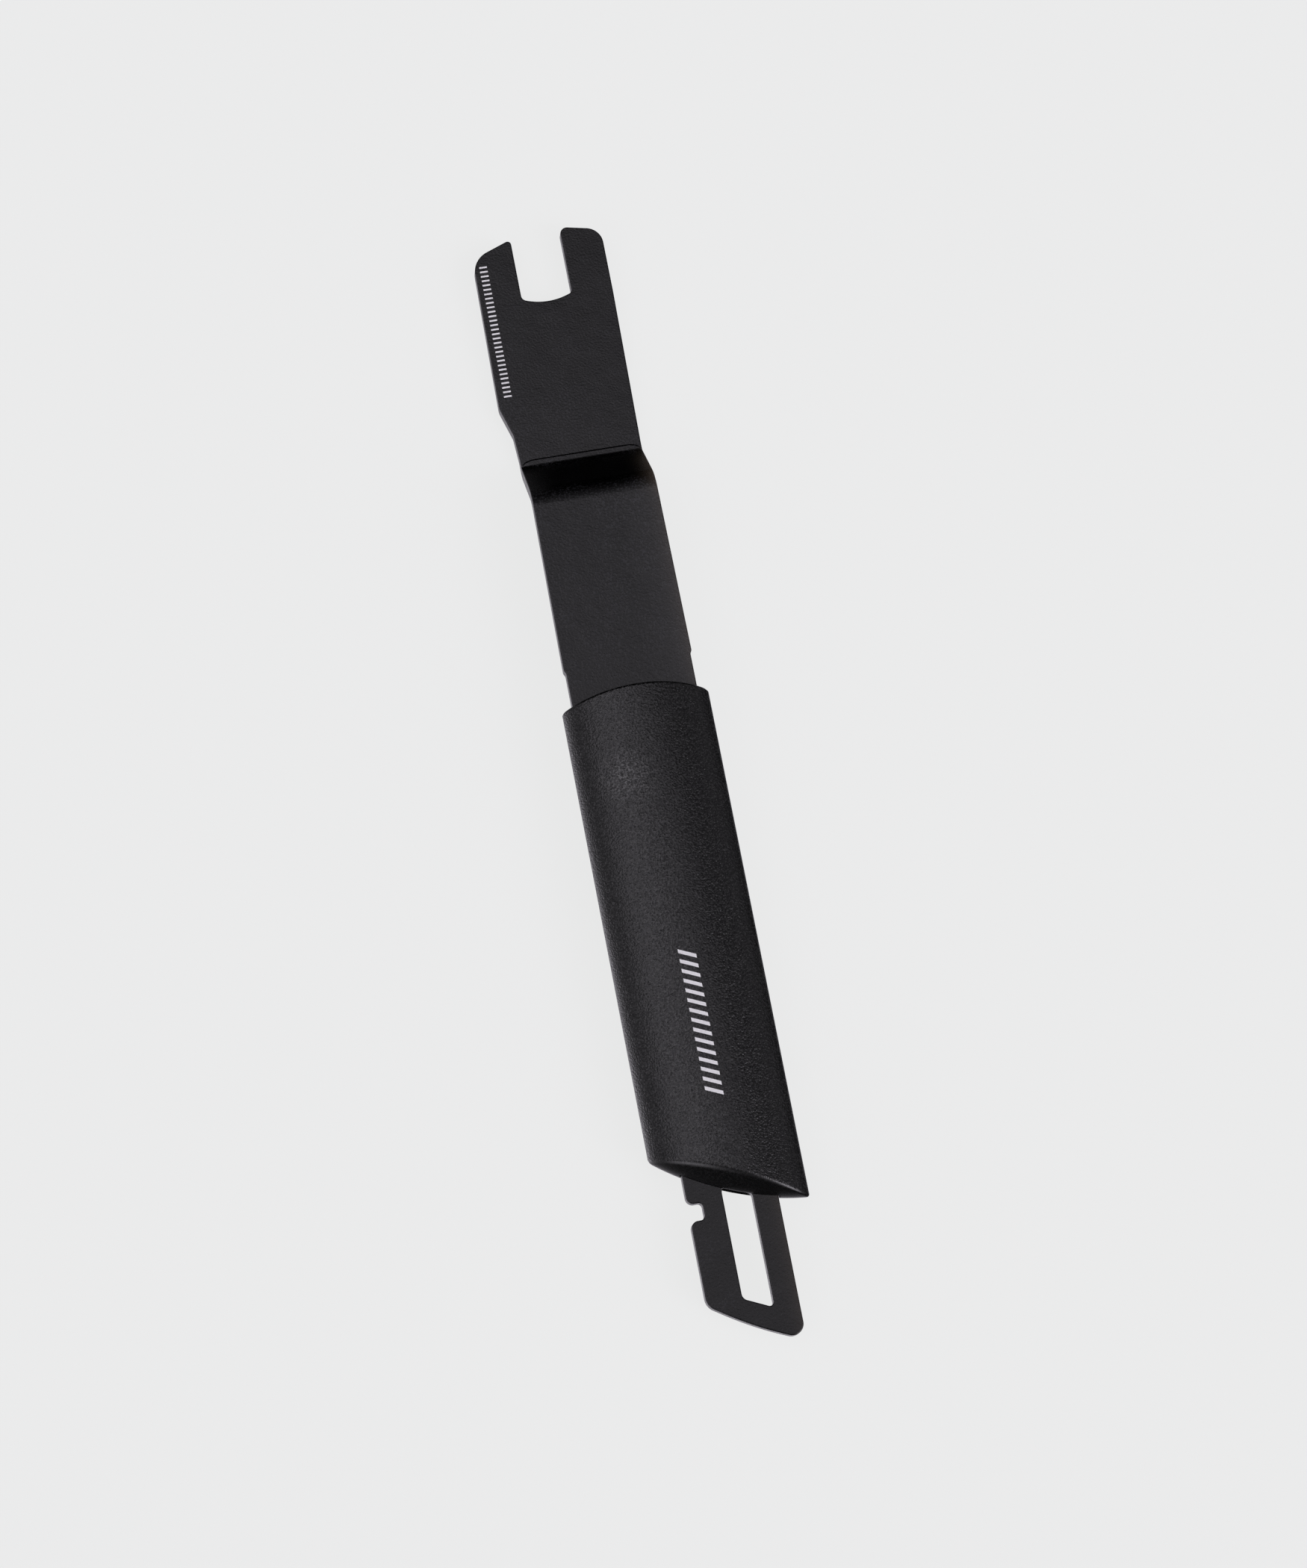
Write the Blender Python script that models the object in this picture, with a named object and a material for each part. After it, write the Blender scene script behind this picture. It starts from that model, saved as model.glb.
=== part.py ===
"""Pedal wrench: a stamped and joggled steel plate with a moulded handle grip.

The wrench is modelled in its own frame first: X across the plate, +Y towards
the jaw, +Z up, with the middle of the shank's thickness at Z = 0 and the start
of the joggle at Y = 0. A parent then lays it down as it rests on a table: the
heel of the joggle and the tail end of the grip touch Z = 0, and the middle of
its length and width is above the origin. Sizes are in metres.
"""

import math

import bmesh
import bpy
from mathutils import Matrix, Vector

# Plate stock
PLATE_THICKNESS = 0.0040
PLATE_EDGE_RADIUS = 0.0004

# Joggle: the head lies this far under the shank
JOGGLE_DROP = 0.0150
JOGGLE_ANGLE = math.radians(50.0)
BEND_INSIDE_RADIUS = 0.0010
BEND_STEPS = 8

# Head, its lengths measured from the end of the joggle
HEAD_LENGTH = 0.0716
HEAD_LEFT = 0.02115
HEAD_LEFT_AT_TIP = 0.02055
HEAD_RIGHT = 0.01878
HEAD_RIGHT_STRAIGHT_FROM = 0.0494
HEAD_RIGHT_BLEND_RADIUS = 0.0600
NECK_HALF_WIDTH = 0.01805
NECK_LEFT_AT_STEP = 0.01850
STEP_FOOT = 0.0096
STEP_TOP = 0.0183
STEP_FOOT_RADIUS = 0.0040
STEP_TOP_RADIUS = 0.0060

# Jaw
JAW_WIDTH = 0.0150
JAW_CENTRE = -0.0009
JAW_DEPTH = 0.0223
JAW_FLOOR_RADIUS = 0.0180
JAW_LEFT_CORNER_RADIUS = 0.0018
JAW_RIGHT_CORNER_RADIUS = 0.0012
RIGHT_TIP_SLOPE = math.radians(11.5)
RIGHT_TIP_INNER_RADIUS = 0.0020
RIGHT_TIP_OUTER_RADIUS = 0.0052
LEFT_TIP_SETBACK = 0.0016
LEFT_TIP_SLOPE = math.radians(20.3)
LEFT_TIP_INNER_RADIUS = 0.0011
LEFT_TIP_OUTER_RADIUS = 0.0069

# Shank, from the joggle to the grip
SHANK_LENGTH = 0.06325
SHANK_HALF_WIDTH_AT_JOGGLE = 0.01825
SHANK_HALF_WIDTH_AT_STEP = 0.01865
TANG_HALF_WIDTH = 0.01815
TANG_STEP_TO_GRIP = 0.0115
TANG_STEP_LENGTH = 0.0010
TANG_STEP_RADIUS = 0.0012

# Grip: a lens shaped sleeve with an arched head end and a slanted, domed tail end
GRIP_LENGTH = 0.1393
GRIP_TO_PLATE_CLEARANCE = 0.0003
GRIP_WALL_BESIDE_PLATE = 0.00285
GRIP_WALL_OVER_PLATE = 0.0067
GRIP_SECTION_POWER = 1.3
GRIP_SECTION_STEPS = 56
GRIP_HEAD_BULGE = 0.00335
GRIP_TAIL_BULGE = 0.0034
GRIP_TAIL_SLANT = math.radians(22.2)
GRIP_TAIL_SETBACK = 0.0050
GRIP_TAIL_SETBACK_POWER = 1.8
END_CUTTER_STEPS = 40
END_CUTTER_OVERLAP = 0.0020

# Shoulders inside the grip, where the tang narrows to the tail
SHOULDER_TO_TAIL_END = 0.0300
SHOULDER_LENGTH = 0.0080
SHOULDER_OUTER_RADIUS = 0.0060
SHOULDER_INNER_RADIUS = 0.0060

# Tail, its lengths measured from the middle of the grip's tail end
TAIL_LEFT = 0.01305
TAIL_RIGHT = 0.01250
TAIL_LEFT_LENGTH = 0.0334
TAIL_RIGHT_LENGTH = 0.0472
TAIL_LEFT_CORNER_RADIUS = 0.0042
TAIL_RIGHT_CORNER_RADIUS = 0.0032
TAIL_END_RADIUS = 0.1000

# Notch in the tail's left edge
NOTCH_START = 0.0050
NOTCH_WIDTH = 0.0048
NOTCH_DEPTH = 0.0042
NOTCH_OUTER_RADIUS = 0.0021
NOTCH_INNER_RADIUS = 0.0012

# Hang slot in the tail
SLOT_LEFT = -0.00287
SLOT_WIDTH = 0.00827
SLOT_START = 0.0009
SLOT_LENGTH = 0.03225
SLOT_START_SLOPE = math.radians(25.5)
SLOT_END_SLOPE = math.radians(25.2)
SLOT_START_RADIUS = 0.0016
SLOT_END_LEFT_RADIUS = 0.0021
SLOT_END_RIGHT_RADIUS = 0.00105

# Facets
ARC_STEP = math.radians(11.0)
SMOOTH_ANGLE = math.radians(32.0)
WELD_DISTANCE = 0.000001

COLLECTION_NAME = "pedal_wrench"
CUTTER_COLLECTION_NAME = "pedal_wrench_cutters"


def clear_scene():
    """Remove every object that the file starts with."""
    for old in list(bpy.data.objects):
        bpy.data.objects.remove(old)


def new_collection(name):
    """Make a collection under the scene's own."""
    collection = bpy.data.collections.new(name)
    bpy.context.scene.collection.children.link(collection)
    return collection


def make_material(name, colour, roughness):
    """Plain Principled material of one colour."""
    material = bpy.data.materials.new(name)
    material.use_nodes = True
    shader = material.node_tree.nodes["Principled BSDF"]
    shader.inputs["Base Color"].default_value = (*colour, 1.0)
    shader.inputs["Roughness"].default_value = roughness
    shader.inputs["Metallic"].default_value = 0.0
    return material


def round_corners(corners):
    """Turn (x, y, radius) corners of a closed outline into points, each corner an arc.

    The straight between two corners is longer than what their two arcs take.
    """
    points = []
    count = len(corners)
    for i, (x, y, radius) in enumerate(corners):
        here = Vector((x, y))
        back = Vector(corners[i - 1][:2]) - here
        ahead = Vector(corners[(i + 1) % count][:2]) - here
        back.normalize()
        ahead.normalize()
        half_inside = 0.5 * back.angle(ahead)
        reach = radius / math.tan(half_inside)
        centre = here + (back + ahead).normalized() * (radius / math.sin(half_inside))
        turn = math.pi - 2.0 * half_inside
        steps = max(1, math.ceil(turn / ARC_STEP))
        start = here + back * reach - centre
        end = here + ahead * reach - centre
        side = math.copysign(1.0, start.x * end.y - start.y * end.x)
        for k in range(steps + 1):
            angle = side * turn * k / steps
            spoke = Matrix.Rotation(angle, 2) @ start
            points.append(centre + spoke)
    return points


def outline_to_mesh(name, outlines, half_height, edge_radius, grow):
    """Extrude flat closed outlines up and down, with round edges, as a closed mesh.

    With grow the round edge stands outside the outline, else the outline is
    the widest line of the solid.
    """
    curve = bpy.data.curves.new(name, "CURVE")
    curve.dimensions = "2D"
    curve.fill_mode = "BOTH"
    curve.bevel_depth = edge_radius
    curve.bevel_resolution = 1
    curve.offset = 0.0 if grow else -edge_radius
    curve.extrude = half_height if grow else half_height - edge_radius
    for outline in outlines:
        spline = curve.splines.new("POLY")
        spline.points.add(len(outline) - 1)
        for point, place in zip(spline.points, outline):
            point.co = (place[0], place[1], 0.0, 1.0)
        spline.use_cyclic_u = True
    carrier = bpy.data.objects.new(name, curve)
    bpy.context.scene.collection.objects.link(carrier)
    depsgraph = bpy.context.evaluated_depsgraph_get()
    mesh = bpy.data.meshes.new_from_object(carrier.evaluated_get(depsgraph))
    bpy.data.objects.remove(carrier)
    bpy.data.curves.remove(curve)
    body = bmesh.new()
    body.from_mesh(mesh)
    bmesh.ops.remove_doubles(body, verts=body.verts, dist=WELD_DISTANCE)
    bmesh.ops.recalc_face_normals(body, faces=body.faces)
    body.to_mesh(mesh)
    body.free()
    mesh.name = name
    return mesh


def bend_radius():
    """Radius of the middle of the plate in a bend."""
    return BEND_INSIDE_RADIUS + 0.5 * PLATE_THICKNESS


def riser_length():
    """Straight length between the two bends."""
    dropped_in_bends = 2.0 * bend_radius() * (1.0 - math.cos(JOGGLE_ANGLE))
    return (JOGGLE_DROP - dropped_in_bends) / math.sin(JOGGLE_ANGLE)


def joggle_path():
    """Stretches of the joggle's centre line as (length, angle turned upwards)."""
    bend = bend_radius() * JOGGLE_ANGLE
    return [(bend, -JOGGLE_ANGLE), (riser_length(), 0.0), (bend, JOGGLE_ANGLE)]


def joggle_length():
    """Length of the joggle along the plate's middle, which the flat blank needs."""
    return sum(length for length, _ in joggle_path())


def follow_joggle(distance, lift):
    """Place of a point of the flat blank once bent, as (y, z).

    distance runs along the plate's middle from the start of the joggle, and
    lift is the height over the middle of the thickness.
    """
    y = z = heading = 0.0
    left = distance
    for length, turn in joggle_path():
        part = min(max(left, 0.0), length)
        turned = turn * part / length
        chord = part if turn == 0.0 else 2.0 * abs(length / turn * math.sin(0.5 * turned))
        y += chord * math.cos(heading + 0.5 * turned)
        z += chord * math.sin(heading + 0.5 * turned)
        heading += turned
        left -= part
    y += left * math.cos(heading) - lift * math.sin(heading)
    z += left * math.sin(heading) + lift * math.cos(heading)
    return y, z


def head_corners(start):
    """Corners of the head from its right side round the jaw to its left side."""
    tip = start + HEAD_LENGTH
    jaw_left = JAW_CENTRE - 0.5 * JAW_WIDTH
    jaw_right = JAW_CENTRE + 0.5 * JAW_WIDTH
    floor_half_width = 0.5 * JAW_WIDTH - JAW_LEFT_CORNER_RADIUS
    floor_slope = math.asin(floor_half_width / JAW_FLOOR_RADIUS)
    floor = tip - JAW_DEPTH - JAW_FLOOR_RADIUS * (1.0 / math.cos(floor_slope) - 1.0)
    floor_side = floor + 0.5 * JAW_WIDTH * math.tan(floor_slope)
    right_shoulder = tip - (HEAD_RIGHT - jaw_right) * math.tan(RIGHT_TIP_SLOPE)
    left_tip = tip - LEFT_TIP_SETBACK
    left_shoulder = left_tip - (jaw_left + HEAD_LEFT_AT_TIP) * math.tan(LEFT_TIP_SLOPE)
    return [
        (NECK_HALF_WIDTH, start, HEAD_RIGHT_BLEND_RADIUS),
        (HEAD_RIGHT, start + HEAD_RIGHT_STRAIGHT_FROM, HEAD_RIGHT_BLEND_RADIUS),
        (HEAD_RIGHT, right_shoulder, RIGHT_TIP_OUTER_RADIUS),
        (jaw_right, tip, RIGHT_TIP_INNER_RADIUS),
        (jaw_right, floor_side, JAW_RIGHT_CORNER_RADIUS),
        (JAW_CENTRE, floor, JAW_FLOOR_RADIUS),
        (jaw_left, floor_side, JAW_LEFT_CORNER_RADIUS),
        (jaw_left, left_tip, LEFT_TIP_INNER_RADIUS),
        (-HEAD_LEFT_AT_TIP, left_shoulder, LEFT_TIP_OUTER_RADIUS),
        (-HEAD_LEFT, start + STEP_TOP, STEP_TOP_RADIUS),
        (-NECK_LEFT_AT_STEP, start + STEP_FOOT, STEP_FOOT_RADIUS),
        (-NECK_HALF_WIDTH, start, HEAD_RIGHT_BLEND_RADIUS),
    ]


def grip_half_width():
    """Half width of the grip: the tang, the clearance and the wall beside it."""
    return TANG_HALF_WIDTH + GRIP_TO_PLATE_CLEARANCE + GRIP_WALL_BESIDE_PLATE


def grip_half_thickness():
    """Half thickness of the grip: half the plate, the clearance and the wall over it."""
    return 0.5 * PLATE_THICKNESS + GRIP_TO_PLATE_CLEARANCE + GRIP_WALL_OVER_PLATE


def grip_head_y():
    """Corners of the grip's head end."""
    return -SHANK_LENGTH


def grip_tail_y():
    """Middle of the line between the corners of the grip's tail end."""
    return grip_head_y() - GRIP_LENGTH


def shank_side():
    """Corners down one side of the shank and tang, as (half width, y, radius)."""
    step = grip_head_y() + TANG_STEP_TO_GRIP
    shoulder = grip_tail_y() + SHOULDER_TO_TAIL_END
    return [
        (SHANK_HALF_WIDTH_AT_JOGGLE, 0.0, HEAD_RIGHT_BLEND_RADIUS),
        (SHANK_HALF_WIDTH_AT_STEP, step + 0.5 * TANG_STEP_LENGTH, TANG_STEP_RADIUS),
        (TANG_HALF_WIDTH, step - 0.5 * TANG_STEP_LENGTH, TANG_STEP_RADIUS),
        (TANG_HALF_WIDTH, shoulder, SHOULDER_OUTER_RADIUS),
    ]


def tail_end_corner(left_end, right_end):
    """Middle corner of the tail's end, whose arc reaches the round corners beside it."""
    left = Vector((-TAIL_LEFT, left_end))
    right = Vector((TAIL_RIGHT, right_end))
    half = 0.5 * (right - left).length
    slope = math.atan2(left_end - right_end, TAIL_LEFT + TAIL_RIGHT)
    corner_reach = TAIL_RIGHT_CORNER_RADIUS * math.tan(0.25 * math.pi + 0.5 * slope)
    turn = math.asin((half - corner_reach) / TAIL_END_RADIUS)
    outwards = Vector((-math.sin(slope), -math.cos(slope)))
    corner = 0.5 * (left + right) + outwards * half * math.tan(turn)
    return corner.x, corner.y, TAIL_END_RADIUS


def tail_corners():
    """Corners of the tail from its left root round its slanted end to its right root."""
    grip_end = grip_tail_y()
    root = grip_end + SHOULDER_TO_TAIL_END - SHOULDER_LENGTH
    notch = grip_end - NOTCH_START
    notch_floor = -TAIL_LEFT + NOTCH_DEPTH
    left_end = grip_end - TAIL_LEFT_LENGTH
    right_end = grip_end - TAIL_RIGHT_LENGTH
    return [
        (-TAIL_LEFT, root, SHOULDER_INNER_RADIUS),
        (-TAIL_LEFT, notch, NOTCH_OUTER_RADIUS),
        (notch_floor, notch, NOTCH_INNER_RADIUS),
        (notch_floor, notch - NOTCH_WIDTH, NOTCH_INNER_RADIUS),
        (-TAIL_LEFT, notch - NOTCH_WIDTH, NOTCH_OUTER_RADIUS),
        (-TAIL_LEFT, left_end, TAIL_LEFT_CORNER_RADIUS),
        tail_end_corner(left_end, right_end),
        (TAIL_RIGHT, right_end, TAIL_RIGHT_CORNER_RADIUS),
        (TAIL_RIGHT, root, SHOULDER_INNER_RADIUS),
    ]


def slot_corners():
    """Corners of the hang slot, turning the other way round than the plate's outline."""
    start = grip_tail_y() - SLOT_START
    end = start - SLOT_LENGTH
    right = SLOT_LEFT + SLOT_WIDTH
    return [
        (SLOT_LEFT, start, SLOT_START_RADIUS),
        (right, start - SLOT_WIDTH * math.tan(SLOT_START_SLOPE), SLOT_START_RADIUS),
        (right, end - SLOT_WIDTH * math.tan(SLOT_END_SLOPE), SLOT_END_RIGHT_RADIUS),
        (SLOT_LEFT, end, SLOT_END_LEFT_RADIUS),
    ]


def blank_corners():
    """Corners of the flat blank, anticlockwise from the right of the neck."""
    side = shank_side()
    left_side = [(-x, y, radius) for x, y, radius in side]
    right_side = list(reversed(side))
    return head_corners(joggle_length()) + left_side + tail_corners() + right_side


def cut_across(body, y):
    """Cut a mesh across at one y, so that it can bend there."""
    everything = body.verts[:] + body.edges[:] + body.faces[:]
    bmesh.ops.bisect_plane(body, geom=everything, dist=WELD_DISTANCE,
                           plane_co=(0.0, y, 0.0), plane_no=(0.0, 1.0, 0.0))


def bend_blank(mesh):
    """Bend the flat blank down over the joggle's two radii."""
    body = bmesh.new()
    body.from_mesh(mesh)
    start = 0.0
    for length, turn in joggle_path():
        steps = BEND_STEPS if turn else 1
        for k in range(steps + 1):
            cut_across(body, start + length * k / steps)
        start += length
    for vert in body.verts:
        vert.co.y, vert.co.z = follow_joggle(vert.co.y, vert.co.z)
    bmesh.ops.triangulate(body, faces=[f for f in body.faces if len(f.verts) > 4])
    body.to_mesh(mesh)
    body.free()


def make_plate():
    """Stamp the blank with its slot and bend it."""
    outlines = [round_corners(blank_corners()), round_corners(slot_corners())]
    mesh = outline_to_mesh("wrench_plate", outlines, 0.5 * PLATE_THICKNESS,
                           PLATE_EDGE_RADIUS, grow=False)
    bend_blank(mesh)
    return bpy.data.objects.new("wrench_plate", mesh)


def grip_section():
    """Lens shaped section of the grip: x follows a cosine, z a sine raised to a power."""
    points = []
    for k in range(GRIP_SECTION_STEPS):
        angle = 2.0 * math.pi * k / GRIP_SECTION_STEPS
        height = abs(math.sin(angle)) ** GRIP_SECTION_POWER
        x = grip_half_width() * math.cos(angle)
        z = math.copysign(grip_half_thickness() * height, math.sin(angle))
        points.append((x, z))
    return points


def arc_radius(half_chord, bulge):
    """Radius of the arc that bulges this far out of its chord."""
    return (half_chord ** 2 + bulge ** 2) / (2.0 * bulge)


def make_end_cutter(name, half_chord, bulge, setback, middle, outwards):
    """Cutter that gives one end of the grip its arch, seen from above, and its dome.

    Its inner wall is turned about an upright axis, with the arc's radius at
    mid height and less above and below, by a power of the height.
    """
    radius = arc_radius(half_chord, bulge)
    outside = radius + 2.0 * half_chord
    top = grip_half_thickness() + END_CUTTER_OVERLAP
    levels = 12
    profile = []
    for k in range(levels + 1):
        z = top * (1.0 - 2.0 * k / levels)
        drawn_in = setback * (abs(z) / grip_half_thickness()) ** GRIP_TAIL_SETBACK_POWER
        profile.append((radius - drawn_in, 0.0, z))
    profile.append((outside, 0.0, -top))
    profile.append((outside, 0.0, top))
    body = bmesh.new()
    face = body.faces.new([body.verts.new(point) for point in profile])
    sweep = 2.0 * math.asin(min(1.0, (half_chord + END_CUTTER_OVERLAP) / radius))
    bmesh.ops.rotate(body, verts=body.verts, cent=(0.0, 0.0, 0.0),
                     matrix=Matrix.Rotation(-0.5 * sweep, 3, "Z"))
    bmesh.ops.spin(body, geom=[face], cent=(0.0, 0.0, 0.0), axis=(0.0, 0.0, 1.0),
                   angle=sweep, steps=END_CUTTER_STEPS)
    bmesh.ops.recalc_face_normals(body, faces=body.faces)
    mesh = bpy.data.meshes.new(name)
    body.to_mesh(mesh)
    body.free()
    cutter = bpy.data.objects.new(name, mesh)
    cutter.location = (middle - outwards * (radius - bulge)).to_3d()
    cutter.rotation_euler.z = math.atan2(outwards.y, outwards.x)
    return cutter


def make_pocket_cutter():
    """The plate's outline grown by the clearance, which hollows the grip."""
    mesh = outline_to_mesh("plate_pocket", [round_corners(blank_corners())],
                           0.5 * PLATE_THICKNESS,
                           GRIP_TO_PLATE_CLEARANCE, grow=True)
    return bpy.data.objects.new("plate_pocket", mesh)


def make_grip():
    """Lens shaped bar, as long as both ends need before they are cut."""
    reach = grip_half_width() * math.tan(GRIP_TAIL_SLANT)
    top = grip_head_y() + GRIP_HEAD_BULGE + END_CUTTER_OVERLAP
    bottom = grip_tail_y() - reach - GRIP_TAIL_BULGE - END_CUTTER_OVERLAP
    mesh = outline_to_mesh("handle_grip", [grip_section()], 0.5 * (top - bottom), 0.0, grow=True)
    mesh.transform(Matrix.Rotation(0.5 * math.pi, 4, "X"))
    mesh.transform(Matrix.Translation((0.0, 0.5 * (top + bottom), 0.0)))
    return bpy.data.objects.new("handle_grip", mesh)


def make_grip_cutters():
    """Cutters of the grip: its head end, its tail end and the plate's pocket."""
    head = make_end_cutter("grip_head_end", grip_half_width(), GRIP_HEAD_BULGE, 0.0,
                           Vector((0.0, grip_head_y())), Vector((0.0, 1.0)))
    slanted = Vector((-math.sin(GRIP_TAIL_SLANT), -math.cos(GRIP_TAIL_SLANT)))
    tail = make_end_cutter("grip_tail_end", grip_half_width() / math.cos(GRIP_TAIL_SLANT),
                           GRIP_TAIL_BULGE, GRIP_TAIL_SETBACK,
                           Vector((0.0, grip_tail_y())), slanted)
    return [head, tail, make_pocket_cutter()]


def subtract(target, cutter):
    """Cut one object out of another with an exact Boolean."""
    modifier = target.modifiers.new(cutter.name, "BOOLEAN")
    modifier.operation = "DIFFERENCE"
    modifier.solver = "EXACT"
    modifier.object = cutter


def side_silhouette(parts):
    """All points of the finished parts seen from the side, as sorted (y, z)."""
    depsgraph = bpy.context.evaluated_depsgraph_get()
    points = set()
    for part in parts:
        finished = part.evaluated_get(depsgraph)
        mesh = finished.to_mesh()
        points.update((vert.co.y, vert.co.z) for vert in mesh.vertices)
        finished.to_mesh_clear()
    return sorted(points)


def lower_edge(points):
    """Lower convex edge of sorted (y, z) points."""
    edge = []
    for point in points:
        while len(edge) > 1:
            (ay, az), (by, bz) = edge[-2], edge[-1]
            if (by - ay) * (point[1] - az) - (bz - az) * (point[0] - ay) > 0.0:
                break
            edge.pop()
        edge.append(point)
    return edge


def lay_down(parts, carrier):
    """Tilt and shift the carrier so that the wrench lies on its two lowest points."""
    points = side_silhouette(parts)
    edge = lower_edge(points)
    spans = list(zip(edge[:-1], edge[1:]))
    (ay, az), (by, bz) = max(spans, key=lambda span: span[1][0] - span[0][0])
    tilt = Matrix.Rotation(-math.atan2(bz - az, by - ay), 4, "X")
    laid = [tilt @ Vector((0.0, y, z)) for y, z in points]
    middle = 0.5 * (min(p.y for p in laid) + max(p.y for p in laid))
    floor = min(p.z for p in laid)
    carrier.matrix_world = Matrix.Translation((0.0, -middle, -floor)) @ tilt


def build_wrench():
    """Make both pieces, their cutters and the parent that lays them down."""
    clear_scene()
    parts_collection = new_collection(COLLECTION_NAME)
    cutter_collection = new_collection(CUTTER_COLLECTION_NAME)
    carrier = bpy.data.objects.new("resting_place", None)
    parts_collection.objects.link(carrier)

    plate = make_plate()
    grip = make_grip()
    plate.data.materials.append(make_material("black_coated_steel", (0.012, 0.012, 0.013), 0.38))
    grip.data.materials.append(make_material("black_grained_plastic", (0.016, 0.016, 0.018), 0.5))
    for part in (plate, grip):
        parts_collection.objects.link(part)
        part.parent = carrier
        part.data.shade_smooth()
        part.data.set_sharp_from_angle(angle=SMOOTH_ANGLE)

    for cutter in make_grip_cutters():
        cutter_collection.objects.link(cutter)
        cutter.parent = carrier
        cutter.hide_render = True
        cutter.display_type = "WIRE"
        subtract(grip, cutter)

    lay_down((plate, grip), carrier)


build_wrench()
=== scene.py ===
# %% [markdown]
# # A pedal wrench, dressed for its picture
#
# The tool is one steel plate, 4 mm thick, stamped, bent into a joggle and coated
# black, with a black moulded grip over its middle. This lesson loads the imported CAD
# model, makes a finely curved surface for each of its two pieces, and gives them
# their finishes. Every shape is worked out as whole numpy arrays.

# %% Load the frame
import math

import bpy
import numpy as np
from mathutils import Matrix, Vector
from mathutils.geometry import delaunay_2d_cdt


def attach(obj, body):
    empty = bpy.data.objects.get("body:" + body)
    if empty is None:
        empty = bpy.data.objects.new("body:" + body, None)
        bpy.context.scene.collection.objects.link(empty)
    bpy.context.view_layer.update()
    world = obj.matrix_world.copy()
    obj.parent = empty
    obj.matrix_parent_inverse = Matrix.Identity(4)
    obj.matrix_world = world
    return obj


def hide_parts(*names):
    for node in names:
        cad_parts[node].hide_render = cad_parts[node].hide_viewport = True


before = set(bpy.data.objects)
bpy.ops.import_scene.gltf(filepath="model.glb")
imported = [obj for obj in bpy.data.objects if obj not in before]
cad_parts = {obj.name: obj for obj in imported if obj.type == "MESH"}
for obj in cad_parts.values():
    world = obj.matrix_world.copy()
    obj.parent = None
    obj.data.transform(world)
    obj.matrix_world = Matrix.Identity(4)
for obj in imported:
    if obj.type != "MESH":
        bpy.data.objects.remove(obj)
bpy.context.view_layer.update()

# %% [markdown]
# ## Where the wrench lies
#
# Its own frame is easier to think in: X across the plate, Y along it towards the jaw,
# with zero where the joggle starts, and Z up, with zero in the middle of the shank's
# thickness. On the table the wrench rests on the heel of the joggle and on the tail
# end of its grip, so that frame is tipped by about two degrees and shifted a little.

# %% The lie of the wrench
MM = 0.001
REST_TILT = math.asin(0.0369796)
REST_SHIFT = np.array((0.0, 80.44993, 16.41947))


def lay_down(points):
    """Turn wrench millimetres about X by the tilt, shift them and give metres."""
    c, s = math.cos(REST_TILT), math.sin(REST_TILT)
    x, y, z = np.moveaxis(np.asarray(points, float), -1, 0)
    turned = np.stack((x, c * y - s * z, s * y + c * z), -1)
    return (turned + REST_SHIFT) * MM


def tip_directions(directions):
    """Turn directions about X by the tilt."""
    c, s = math.cos(REST_TILT), math.sin(REST_TILT)
    x, y, z = np.moveaxis(np.asarray(directions, float), -1, 0)
    return np.stack((x, c * y - s * z, s * y + c * z), -1)


print("tilt in degrees:", round(math.degrees(REST_TILT), 2))

# %% [markdown]
# ## The camera
#
# The photograph was taken from above and a little from the tail, about 1.1 m away.
# The camera's place, aim and roll come from fitting its view of the jaw, the joggle
# and the straight edges to the photograph, with the jaw 15 mm wide.

# %% Camera
CAMERA_PLACE = np.array((-133.727, -330.651, 1102.0))
CAMERA_AIM = np.array((0.379, -88.209, 2.0))
CAMERA_ROLL = -0.194
FOCAL_PIXELS = 5354.1
PHOTO_HEIGHT = 2100.0
SENSOR = 36.0


def camera_axes(place, aim, roll):
    """Right, up and backward directions of a camera that looks from place to aim."""
    back = (place - aim) / np.linalg.norm(place - aim)
    right = np.cross((0.0, 1.0, 0.0), back)
    right /= np.linalg.norm(right)
    up = np.cross(back, right)
    c, s = math.cos(roll), math.sin(roll)
    return np.stack((c * right + s * up, c * up - s * right, back))


axes = tip_directions(camera_axes(CAMERA_PLACE, CAMERA_AIM, CAMERA_ROLL))
camera = bpy.data.objects.new("camera", bpy.data.cameras.new("camera"))
bpy.context.scene.collection.objects.link(camera)
camera.matrix_world = Matrix.Translation(lay_down(CAMERA_PLACE)) @ Matrix(axes.T.tolist()).to_4x4()
camera.data.sensor_width = SENSOR
camera.data.lens = SENSOR * FOCAL_PIXELS / PHOTO_HEIGHT
camera.data.clip_end = 10.0
bpy.context.scene.camera = camera
print("lens in mm:", round(camera.data.lens, 1))

# %% [markdown]
# ## The flat blank
#
# Before it is bent the plate is a flat blank. Its outline is a list of corners, each
# with the radius that rounds it. Lengths along the head are counted from the end of
# the joggle, in the flat, so the first step is how much flat steel the joggle takes.
# The CAD model gives both bends the same radius. In the photograph the light fades
# over a longer stretch at the upper one, so here that one is rounder. The straight
# parts stay where they are, and only the bend's own surface moves, by up to 0.4 mm.

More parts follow.
